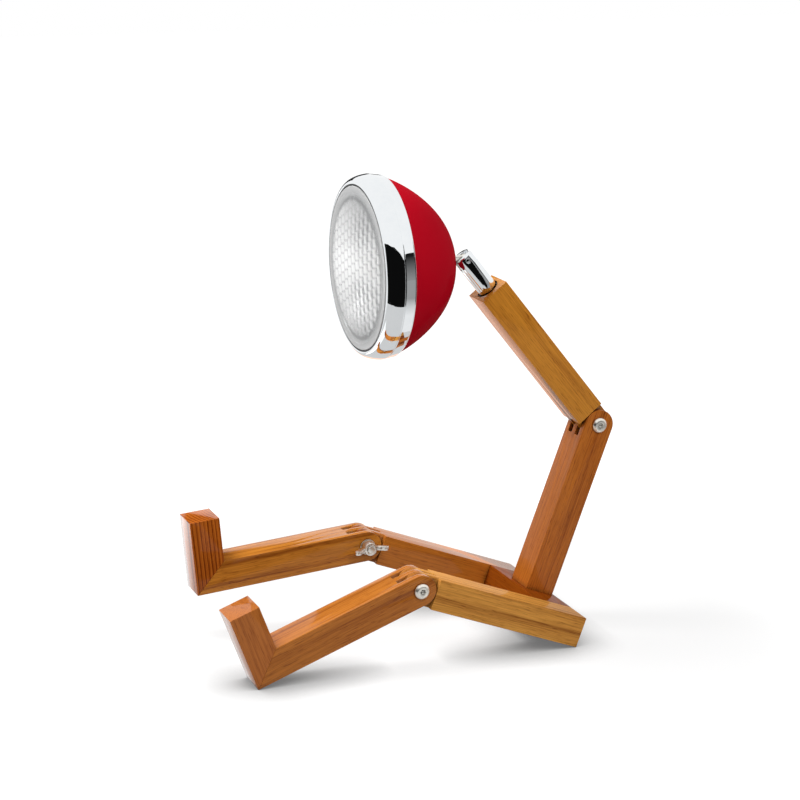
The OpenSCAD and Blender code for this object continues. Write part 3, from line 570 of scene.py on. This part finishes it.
def closedOutline(*runs):
    # The runs one after the other, and the first point again at the end
    outline = np.vstack(runs)
    return np.vstack([outline, outline[:1]])


# Head shell: radius falls as a power of the cosine and depth grows as a power of the sine, up to a
# flat seat round the stud's hole; the inner wall is the same curve drawn smaller
shellSize = {"radius": 70.8, "start": 21.7, "depth": 56.4, "wall": 1.0, "seatRadius": 8.0, "seatEdge": 0.4,
             "front": 6.8, "studHole": 5.0, "powerDepth": 1.667, "powerRadius": 0.862}


def makeShell():
    size = shellSize
    seatTurn = math.acos((size["seatRadius"] / size["radius"]) ** (1 / size["powerRadius"]))
    back = size["start"] + size["depth"] * math.sin(seatTurn) ** size["powerDepth"]

    def dome(wall):
        turn = np.linspace(0, 1, 120) ** 0.9 * seatTurn
        return np.stack([(size["radius"] - wall) * np.cos(turn) ** size["powerRadius"],
                         size["start"] + (size["depth"] - wall) * np.sin(turn) ** size["powerDepth"]], 1)

    flat = [[size["seatRadius"] - size["seatEdge"], back], [size["studHole"], back],
            [size["studHole"], back - size["wall"]]]
    outline = closedOutline([[size["radius"], size["front"]]], dome(0), flat, dome(size["wall"])[::-1],
                            [[size["radius"] - size["wall"], size["front"]]])
    finishPiece(gridMesh("head_shell_enamel", turned(outline, 240), headFrame), ["head_shell"], "red_paint")


makeShell()
print("head shell made")

# Chrome ring: a rolled lip, a band that swells as a quarter ellipse, a fine groove, and behind it a
# skirt that narrows as a power of its length and ends in a bead
ringSize = {"rim": 66.3, "crestRadius": 73.2, "crest": 16.75, "bandTurn": 77.8, "wall": 0.9,
            "lipRadius": 0.8, "lipThick": 0.4, "grooveDepth": 0.3, "grooveWidth": 0.35, "grooveEdge": 0.15,
            "skirtStart": 72.95, "skirtEnd": 71.55, "skirtBack": 22.35, "skirtPower": 1.15,
            "skirtWall": 0.8, "bead": 0.3, "beadIn": 0.05}


def makeRing():
    size = ringSize

    def band(wall):
        turn = np.radians(np.linspace(0, size["bandTurn"], 64))
        return np.stack([size["rim"] + (size["crestRadius"] - size["rim"] - wall) * np.sin(turn),
                         size["crest"] * (1 - np.cos(turn)) + wall * np.cos(turn)], 1)

    def lip(radius, turns):
        turn = np.radians(turns)
        return np.stack([size["rim"] - radius * np.sin(turn), size["lipRadius"] - radius * np.cos(turn)], 1)

    outer, inner = band(0), band(size["wall"])
    edge = outer[-1]
    bottom = edge[0] - size["grooveDepth"]
    groove = [[edge[0] - 0.1, edge[1] + 0.08], [bottom, edge[1] + size["grooveEdge"]],
              [bottom, edge[1] + size["grooveWidth"]]]
    part = np.linspace(0, 1, 16)
    skirtFront = edge[1] + size["grooveWidth"] + size["grooveEdge"]
    narrowing = (size["skirtStart"] - size["skirtEnd"]) * part ** size["skirtPower"]
    skirt = np.stack([size["skirtStart"] - narrowing,
                      skirtFront + (size["skirtBack"] - skirtFront) * part], 1)
    turn = np.radians(np.linspace(-60, 180, 13))
    bead = np.stack([size["skirtEnd"] - size["beadIn"] + size["bead"] * np.cos(turn),
                     size["skirtBack"] + size["bead"] * np.sin(turn)], 1)
    outline = closedOutline(lip(size["lipRadius"], np.linspace(85, 8, 12)), outer, groove, skirt, bead,
                            skirt[::-1][::3] - [size["skirtWall"], 0], inner[::-1][::4],
                            lip(size["lipRadius"] - size["lipThick"], np.linspace(8, 85, 8)))
    finishPiece(gridMesh("bezel_ring_chrome", turned(outline, 256), headFrame), ["bezel_ring"], "chrome")


makeRing()
print("chrome ring made")

# Lens: a plain border that stands a little proud of the ring, and inside it upright flutes crossed by
# short ripples set like bricks
lensSize = {"edge": 67.2, "seat": 1.4, "back": 4.3, "borderFront": -0.3, "borderEdge": 64.3, "rise": 2.4,
            "border": 7.6, "borderRound": 0.7, "flutePitch": 8.8, "fluteDepth": 1.0, "cellPitch": 7.7,
            "cellDepth": 0.7, "patternEdge": 2.5}
# Painted shade in the glass's colour, standing in for what it refracts: dark joints between the cells, one
# flank of each cell, more on the near side and less in a band across the middle, an even grey towards the
# upper and lower edge, and a moulded ring and border round them
lensShade = {"jointMm": 1.3, "upright": 0.3, "level": 0.42, "slant": 0.28, "lean": 0.3, "uneven": 0.1,
             "flankShade": 1.4, "nearShadeMm": 36, "lightBandMm": 12, "patternReachMm": 44, "farGrey": 0.72,
             "ring": 0.5, "ringMm": 2.2, "ringIn": 1.2, "border": 0.42}


def makeLens():
    size = lensSize
    inner = size["borderEdge"] - size["border"]
    outerRings, innerRings, columns = 80, 112, 480
    angle = np.linspace(0, 2 * np.pi, columns, endpoint=False)
    # Outside: a shallow dome inside the border, its rise falling as the square of the radius, then a
    # quarter circle at the border's edge and a shoulder that lies behind the ring
    turn = np.radians(np.linspace(0, 90, 7))
    front, edge, corner = size["borderFront"], size["borderEdge"], size["borderRound"]
    radiusOut = np.concatenate([np.linspace(0, inner, outerRings), edge - corner + corner * np.sin(turn),
                                [edge + 0.05, size["edge"] - 0.2]])
    depthOut = np.concatenate([front - size["rise"] * (1 - (radiusOut[:outerRings] / inner) ** 2),
                               front + corner - corner * np.cos(turn), [size["seat"], size["seat"]]])
    rim = np.array([[size["edge"], size["seat"] + 0.2], [size["edge"], size["back"] - 0.3]])
    radiusIn = np.concatenate([[size["edge"] - 0.3, inner + 1.5, inner + 0.5],
                               np.linspace(inner, 0, innerRings)])
    depthIn = size["back"] - size["rise"] * np.clip(1 - (radiusIn / inner) ** 2, 0, 1)
    radius = np.concatenate([radiusOut, rim[:, 0], radiusIn])
    depth = np.concatenate([depthOut, rim[:, 1], depthIn])
    x = radius[:, None] * np.cos(angle)
    y = radius[:, None] * np.sin(angle)
    z = np.repeat(depth[:, None], columns, 1)
    # Inside: each flute is an arch across its pitch; every other column's ripples are half a cell lower
    column = x / size["flutePitch"]
    arch = np.abs(np.cos(np.pi * column))
    cell = y / size["cellPitch"] + 0.5 * (np.floor(column - 0.5) % 2)
    ripple = 0.5 - 0.5 * np.cos(2 * np.pi * cell)
    patterned = np.clip((inner - radius) / size["patternEdge"], 0, 1)[:, None]
    inside = patterned.copy()
    inside[:-innerRings] = 0
    z += inside * (size["fluteDepth"] * (arch - 1) + size["cellDepth"] * (ripple * arch - 1))
    cellShadeAmount = cellShade(size, x, y, column, cell, patterned, radius[:, None] - inner)
    lens = gridMesh("lens_fluted", np.stack([x, y, z], -1), headFrame, {"cellPaintedShade": cellShadeAmount})
    finishPiece(lens, ["lens"], "pressed_glass")


def cellShade(size, x, y, column, cell, patterned, beyond):
    # The cells lean a little for the eye: each is a slanted box with painted dark joints along its edges, and
    # its flank darkens across it as painted shade and fades to its ends. The whole fades as the cube of the
    # height.
    shade = lensShade
    sideways = column - 0.5 - np.floor(column - 0.5) - 0.5
    slanted = cell + shade["slant"] * sideways
    upward = slanted - np.floor(slanted) - 0.5
    leaning = sideways - shade["lean"] * upward

    def line(across, pitch):
        return np.clip(1.1 - (0.5 - np.abs(across)) * pitch / shade["jointMm"], 0, 1)

    joint = (shade["upright"] * line(leaning, size["flutePitch"])
             + shade["level"] * line(upward, size["cellPitch"]))
    uneven = 0.5 + 0.5 * np.sin(12.9 * np.floor(column - 0.5) + 7.3 * np.floor(slanted))  # no two cells alike
    nearSideShade = (np.clip(x / shade["nearShadeMm"] + 0.5, 0.05, 1)
                * (1 - 0.75 * np.exp(-(y / shade["lightBandMm"]) ** 2)))
    flankShade = np.clip(3.2 * leaning + 0.2, 0, 1) * np.cos(np.pi * upward) * (0.6 + 0.6 * uneven)
    strength = np.exp(-(np.abs(y) / shade["patternReachMm"]) ** 3)
    dark = (strength * (joint + shade["uneven"] * uneven + shade["flankShade"] * nearSideShade * flankShade)
            + shade["farGrey"] * (1 - strength))
    moulded = np.exp(-((beyond + shade["ringIn"]) / shade["ringMm"]) ** 2)
    return np.clip(patterned * np.clip(dark, 0, 1) + shade["ring"] * moulded
                   + shade["border"] * (1 - patterned), 0, 1)


makeLens()
print("lens made")

# Rubber seal: a channel round the lens edge, and in front a bead, half an ellipse across, that shows as
# the thin dark line beside the ring
sealSize = {"beadInner": 64.4, "beadOuter": 65.9, "beadFront": 0.15, "beadHeight": 0.25, "beadBack": 1.35,
            "webFront": 1.1, "webInner": 67.3, "webOuter": 67.75, "chamfer": 0.2,
            "bodyInner": 62.2, "bodyFront": 4.35, "bodyBack": 5.8}


def makeSeal():
    size = sealSize
    middle = (size["beadInner"] + size["beadOuter"]) / 2
    turn = np.radians(np.linspace(180, 0, 9))
    bead = np.stack([middle + (middle - size["beadInner"]) * np.cos(turn),
                     size["beadFront"] + size["beadHeight"] * (1 - np.sin(turn))], 1)
    web = [[size["webInner"], size["webFront"]], [size["webOuter"], size["webFront"] + size["chamfer"]],
           [size["webOuter"], size["bodyBack"] - size["chamfer"]],
           [size["webOuter"] - size["chamfer"], size["bodyBack"]], [size["bodyInner"], size["bodyBack"]],
           [size["bodyInner"], size["bodyFront"]], [size["webInner"], size["bodyFront"]],
           [size["webInner"], size["beadBack"]], [size["beadInner"], size["beadBack"]]]
    seal = gridMesh("lens_gasket_moulded", turned(closedOutline(bead, web), 200), headFrame)
    finishPiece(seal, ["lens_gasket"], "black_rubber")


makeSeal()
print("lens seal made")

# Small metal parts: how far the edges of each are rounded, in millimetres, and its finish
metalEdge = {"segments": 2, "sharpDegrees": 30}
metalParts = {
    "neck_tube": (0.25, "chrome"), "head_lug": (0.3, "plated_steel"),
    "neck_bush": (0.15, "plated_steel"), "tilt_pin": (0.3, "chrome"),
    "waist_bolt": (0.3, "plated_steel"), "knee_bolt_left": (0.3, "plated_steel"),
    "knee_bolt_right": (0.3, "plated_steel"), "waist_washer": (0.2, "plated_steel"),
    "knee_washer_left": (0.2, "plated_steel"), "knee_washer_right": (0.2, "plated_steel"),
    "waist_wing_nut": (0.5, "plated_steel"), "knee_wing_nut_left": (0.5, "plated_steel"),
    "knee_wing_nut_right": (0.5, "plated_steel"),
}
for node, (roundMm, slotName) in metalParts.items():
    finishPiece(mergedCopy(node + "_finished", node, roundMm, **metalEdge), [node], slotName)
print("metal parts made:", len(metalParts))

# Camera at the photograph's place
cameraSetting = {"azimuth": 69.1183, "elevation": 13.7903, "distance": 1.80435,
                 "target": (0.0, -0.00746, 0.19887), "focalPixels": 2259.236, "framePixels": 800}


def makeCamera():
    setting = cameraSetting
    azimuth, elevation = math.radians(setting["azimuth"]), math.radians(setting["elevation"])
    back = Vector((math.sin(azimuth) * math.cos(elevation), -math.cos(azimuth) * math.cos(elevation),
                   math.sin(elevation)))
    data = bpy.data.cameras.new("camera")
    data.sensor_width = 36
    data.lens = 36 * setting["focalPixels"] / setting["framePixels"]
    data.clip_start, data.clip_end = 0.05, 50
    camera = bpy.data.objects.new("camera", data)
    camera.location = Vector(setting["target"]) + back * setting["distance"]
    camera.rotation_euler = (-back).to_track_quat("-Z", "Y").to_euler()
    bpy.context.scene.collection.objects.link(camera)
    bpy.context.scene.camera = camera


makeCamera()

# Studio: a white room with soft lamps above and in front, and a pale floor that keeps the shadow and has a
# painted contact shadow close under the lamp
studio = {"worldStrength": 0.3, "floorColour": "#8c8c8c", "floorHalf": 6.0, "floorLift": 0.77,
          "liftFrom": 0.27, "liftTo": 0.45, "whiteFrom": 0.5, "whiteTo": 0.9, "mirrorFloor": 0.68,
          "bounce": 0.32, "contactShadowMm": 40.0, "contactShadowFrom": 0.22, "contactShadowDark": 0.2,
          "lampAim": (0, 0, 0.15)}
lamps = {
    "overhead": {"place": (-0.3, -0.68, 1.25), "power": 15.0, "size": 0.65},
    "front": {"place": (-0.3, -1.5, 0.7), "power": 4.0, "size": 1.3},
    "side": {"place": (1.15, 0.15, 1.2), "power": 10.6, "size": 1.0},
}
# Cards that only mirrors see; they paint the reflections, dark for painted shade and bright for painted
# light. First the curtain, dark round the camera and grey at the side: its upper edge by azimuth, where 0 is
# straight in front of the lamp and 90 is its left side.
curtainShape = {"radius": 2.2, "darkFrom": -7, "darkTo": 113, "greyTo": 150, "dark": 0.004,
                "azimuth": (-7, 18, 38, 55, 73, 82, 90, 94, 98, 113, 150),
                "height": (0.75, 1.2, 1.51, 1.61, 1.64, 1.48, 1.31, 1.13, 0.92, 1.1, 1.15)}
# Then flat cards, their corners and brightness: the dark floor round the camera, a small flag beyond the
# head, and bright sheets on the floor beyond the arm, beside the left foot and before the feet
cards = {
    "dark_floor": ([(0.02, -0.7, 0.002), (0.19, -0.57, 0.002), (0.326, -0.411, 0.002), (0.396, -0.241, 0.002),
                    (0.406, -0.062, 0.002), (0.404, 0.05, 0.002), (0.46, 0.13, 0.002), (2.3, 1.05, 0.002),
                    (2.3, -2.3, 0.002), (-0.25, -2.3, 0.002)], 0.004),
    "head_flag": ([(-0.6, -0.1, 0.27), (-0.6, 0.26, 0.27), (-0.6, 0.26, 0.37), (-0.6, 0.14, 0.5),
                   (-0.6, -0.1, 0.5)], 0.02),
    "arm_sheet": ([(-0.85, 0.0, 0.002), (-0.33, 0.0, 0.002), (-0.33, 0.45, 0.002),
                   (-0.85, 0.45, 0.002)], 1.3),
    "left_sheet": ([(-0.42, -0.36, 0.002), (-0.1, -0.36, 0.002), (-0.1, -0.15, 0.002),
                    (-0.42, -0.15, 0.002)], 2.2),
    "feet_sheet": ([(-0.1, -0.36, 0.002), (0.07, -0.36, 0.002), (0.07, -0.15, 0.002),
                    (-0.1, -0.15, 0.002)], 1.2),
}
cardColour = {"arm_sheet": "#ffd0b9"}  # a warm card that only mirrors see: its painted reflection warms the lacquer on the arm's front face in place of light it lacks
# Behind the lamp the floor's glow fades with distance, and the side of the curtain with height: each
# from the first distance to the second, and from the first level to the second
fades = {"rear": (0.3, 0.6, 0.9, 0.34), "side": (0.05, 1.0, 0.28, 0.01)}
rearFloor = [(0.1, 0.05, 0.0015), (0.404, 0.05, 0.0015), (2.3, 1.05, 0.0015), (2.3, 2.4, 0.0015),
             (0.3, 2.4, 0.0015), (-0.15, 0.6, 0.0015), (0.04, 0.22, 0.0015)]


def makeLamp(name, lampSetting):
    data = bpy.data.lights.new(name, "AREA")
    data.shape = "DISK"
    data.size = lampSetting["size"]
    data.energy = lampSetting["power"]
    lamp = bpy.data.objects.new(name, data)
    lamp.location = lampSetting["place"]
    ahead = Vector(studio["lampAim"]) - Vector(lampSetting["place"])
    lamp.rotation_euler = ahead.to_track_quat("-Z", "Y").to_euler()
    lamp.visible_glossy = False  # mirrors see the white room, not the lamps
    bpy.context.scene.collection.objects.link(lamp)


def whiteRays(tree):
    # 1 for rays that see the background directly, in a mirror or through glass
    path = addNode(tree, "LightPath")
    first = addNode(tree, "Math", None, {
        0: path.outputs["Is Camera Ray"], 1: path.outputs["Is Glossy Ray"]}, operation="MAXIMUM").outputs[0]
    return addNode(tree, "Math", None, {0: first, 1: path.outputs["Is Transmission Ray"]},
                   operation="MAXIMUM").outputs[0]


def stageSheet(name, points, faces, material):
    mesh = bpy.data.meshes.new(name)
    mesh.from_pydata(points, [], faces)
    mesh.materials.append(material)
    sheet = bpy.data.objects.new(name, mesh)
    bpy.context.scene.collection.objects.link(sheet)
    return sheet


def mirrorSheet(name, points, faces, material):
    card = stageSheet(name, points, faces, material)
    card.visible_camera = False
    card.visible_diffuse = False
    card.visible_transmission = False
    card.visible_shadow = False


def oneFace(corners):
    return [tuple(range(len(corners)))]


def cardMaterial(name, level, hexColour="#ffffff"):
    material, tree = bareMaterial(name)
    glow = addNode(tree, "Emission", {"Color": linear(hexColour), "Strength": level})
    addNode(tree, "OutputMaterial", links={"Surface": glow.outputs[0]})
    return material


def fadeMaterial(name, part):
    # A card whose brightness runs from one level to another with its height or its distance
    material = cardMaterial(name, 1.0)
    tree = material.node_tree
    place = addNode(tree, "TexCoord").outputs["Object"]
    if part == "side":
        along = addNode(tree, "SeparateXYZ", None, {0: place}).outputs[2]
    else:
        along = addNode(tree, "VectorMath", None, {0: place}, operation="LENGTH").outputs["Value"]
    level = addNode(tree, "MapRange", dict(zip(("From Min", "From Max", "To Min", "To Max"), fades[part])),
                    {"Value": along}).outputs[0]
    tree.links.new(level, tree.nodes["Emission"].inputs["Strength"])
    return material


def makeCurtain(name, fromDegrees, toDegrees, material):
    # A wall of constant radius round the lamp, from the floor to the curtain's upper edge
    posts = 40
    degrees = np.linspace(fromDegrees, toDegrees, posts)
    turn = np.radians(degrees)
    ring = np.stack([np.sin(turn), -np.cos(turn)], 1) * curtainShape["radius"]
    height = np.interp(degrees, curtainShape["azimuth"], curtainShape["height"])
    points = np.vstack([np.column_stack([ring, np.zeros(posts)]), np.column_stack([ring, height])])
    first = np.arange(posts - 1)
    faces = np.stack([first, first + 1, first + posts + 1, first + posts], 1)
    mirrorSheet(name, points, faces, material)


def makeRoom():
    world = bpy.data.worlds.new("studio")
    bpy.context.scene.world = world
    world.use_nodes = True
    tree = world.node_tree
    tree.nodes.clear()
    strength = addNode(tree, "Mix", {2: studio["worldStrength"], 3: 1.0}, {0: whiteRays(tree)}).outputs[0]
    light = addNode(tree, "Background", {"Color": grey(1.0)}, {"Strength": strength})
    addNode(tree, "OutputWorld", links={"Surface": light.outputs[0]})


def sweepRange(tree, distance, fromPart, toPart, low):
    # Rises smoothly from the low value to 1 between two distances from the lamp
    return addNode(tree, "MapRange", {
        "From Min": studio[fromPart], "From Max": studio[toPart], "To Min": low, "To Max": 1.0},
        {"Value": distance}, interpolation_type="SMOOTHSTEP").outputs[0]


def makeFloor():
    material, tree = bareMaterial("pale_floor")
    # Painted contact shadow: close under the lamp the floor's colour and glow are darkened by how closed in
    # the floor is; away from it the floor turns into the white sweep behind
    shadeOpenness = addNode(tree, "AmbientOcclusion", {"Distance": studio["contactShadowMm"] / 1000},
                     samples=8).outputs["AO"]
    contactShadow = addNode(tree, "MapRange", {
        "From Min": studio["contactShadowFrom"], "From Max": 1.0, "To Min": studio["contactShadowDark"], "To Max": 1.0},
        {"Value": shadeOpenness}).outputs[0]
    place = addNode(tree, "TexCoord").outputs["Object"]
    distance = addNode(tree, "VectorMath", None, {0: place}, operation="LENGTH").outputs["Value"]
    lift = sweepRange(tree, distance, "liftFrom", "liftTo", studio["floorLift"])
    lift = addNode(tree, "Math", None, {0: lift, 1: contactShadow}, operation="MULTIPLY").outputs[0]
    shade = addNode(tree, "Mix", {0: 1.0, 6: linear(studio["floorColour"])}, {7: contactShadow},
                    data_type="RGBA", blend_type="MULTIPLY").outputs[2]
    paint = addNode(tree, "BsdfDiffuse", None, {"Color": shade})
    glow = addNode(tree, "Emission", {"Color": grey(1.0)}, {"Strength": lift})
    seen = addNode(tree, "AddShader", None, {0: paint.outputs[0], 1: glow.outputs[0]})
    # A mirror sees the floor as an even glow that turns white with distance; light bounces off a grey
    sweep = sweepRange(tree, distance, "whiteFrom", "whiteTo", 0.0)
    mirrored = addNode(tree, "MapRange", {"To Min": studio["mirrorFloor"], "To Max": 1.0},
                       {"Value": sweep}).outputs[0]
    mirrored = addNode(tree, "Math", None, {0: mirrored, 1: whiteRays(tree)}, operation="MULTIPLY").outputs[0]
    mirrorGlow = addNode(tree, "Emission", {"Color": grey(1.0)}, {"Strength": mirrored})
    bounce = addNode(tree, "BsdfDiffuse", {"Color": grey(studio["bounce"])})
    path = addNode(tree, "LightPath").outputs
    unseen = addNode(tree, "MixShader", None, {
        0: path["Is Diffuse Ray"], 1: mirrorGlow.outputs[0], 2: bounce.outputs[0]})
    whole = addNode(tree, "MixShader", None, {
        0: path["Is Camera Ray"], 1: unseen.outputs[0], 2: seen.outputs[0]})
    addNode(tree, "OutputMaterial", links={"Surface": whole.outputs[0]})
    half = studio["floorHalf"]
    stageSheet("floor", [(-half, -half, 0), (half, -half, 0), (half, half, 0), (-half, half, 0)],
               [(0, 1, 2, 3)], material)


def makeCards():
    shape = curtainShape
    makeCurtain("curtain", shape["darkFrom"], shape["darkTo"], cardMaterial("black_curtain", shape["dark"]))
    makeCurtain("side_card", shape["darkTo"], shape["greyTo"], fadeMaterial("side_grey", "side"))
    for name, (corners, level) in cards.items():
        mirrorSheet(name, corners, oneFace(corners),
                    cardMaterial(name, level, cardColour.get(name, "#ffffff")))
    mirrorSheet("rear_floor", rearFloor, oneFace(rearFloor), fadeMaterial("rear_grey", "rear"))


makeRoom()
for name, lampSetting in lamps.items():
    makeLamp(name, lampSetting)
makeFloor()
makeCards()
bpy.context.scene.view_settings.view_transform = "Standard"
print("studio made")
